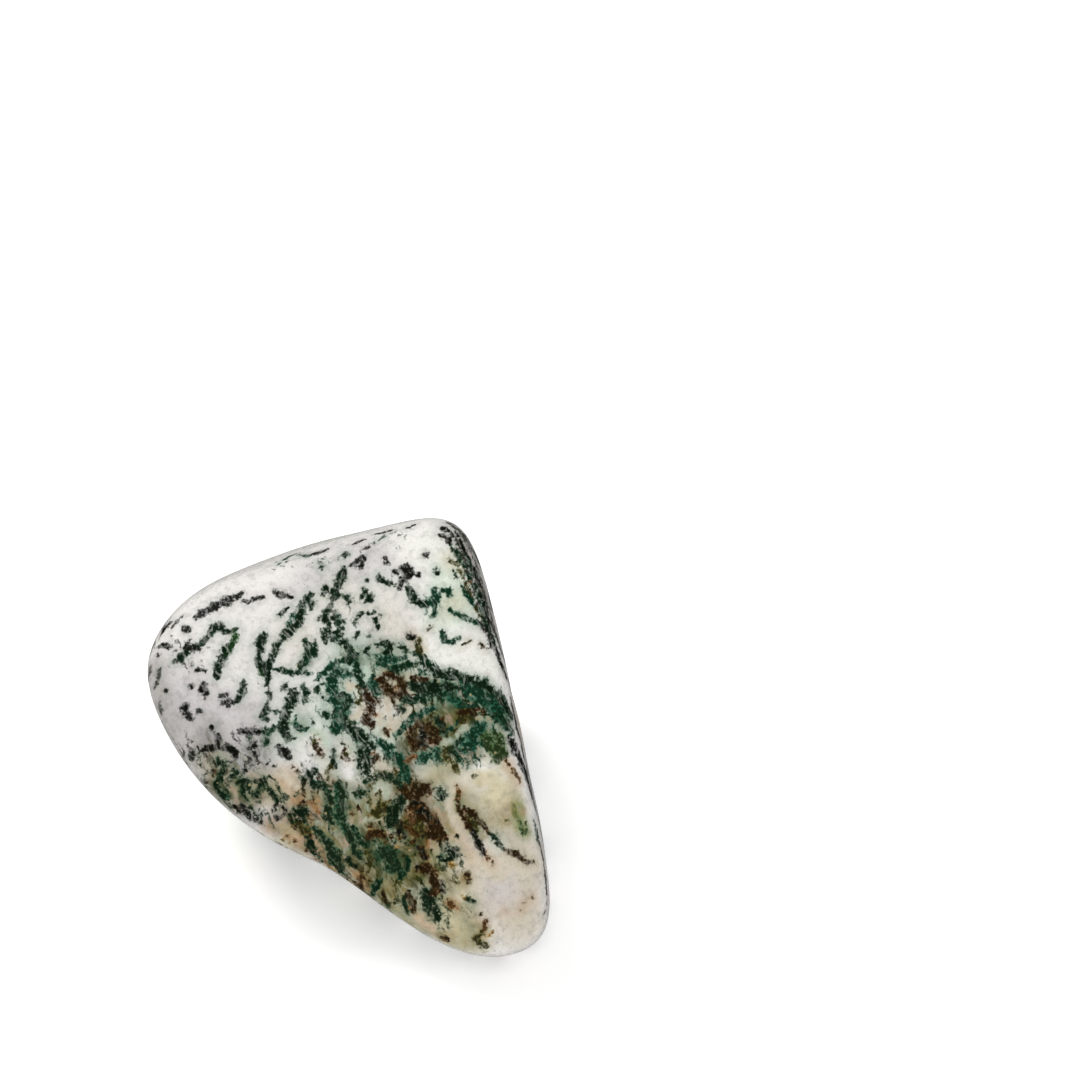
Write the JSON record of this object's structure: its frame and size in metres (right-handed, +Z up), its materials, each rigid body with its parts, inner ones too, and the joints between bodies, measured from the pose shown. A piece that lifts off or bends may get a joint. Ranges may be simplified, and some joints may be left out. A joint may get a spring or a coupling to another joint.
{
  "type": "tumbled tree agate",
  "caption": "Tumbled tree agate: a worn, polished wedge of white chalcedony with branching green and brown inclusions, lying on its flattest face.",
  "frame": {"origin": "on the ground, under the middle of the stone's outline seen from above", "axes": "+Z up from the face that the stone rests on; the widest polished face slopes down towards -Y; +X points to the steep right flank and, with -Y, to the low tip"},
  "size_m": [0.039, 0.04, 0.0286],
  "materials": {
    "agate": "gloss"
  },
  "bodies": {
    "root": {"stone": "agate"}
  },
  "joints": []
}
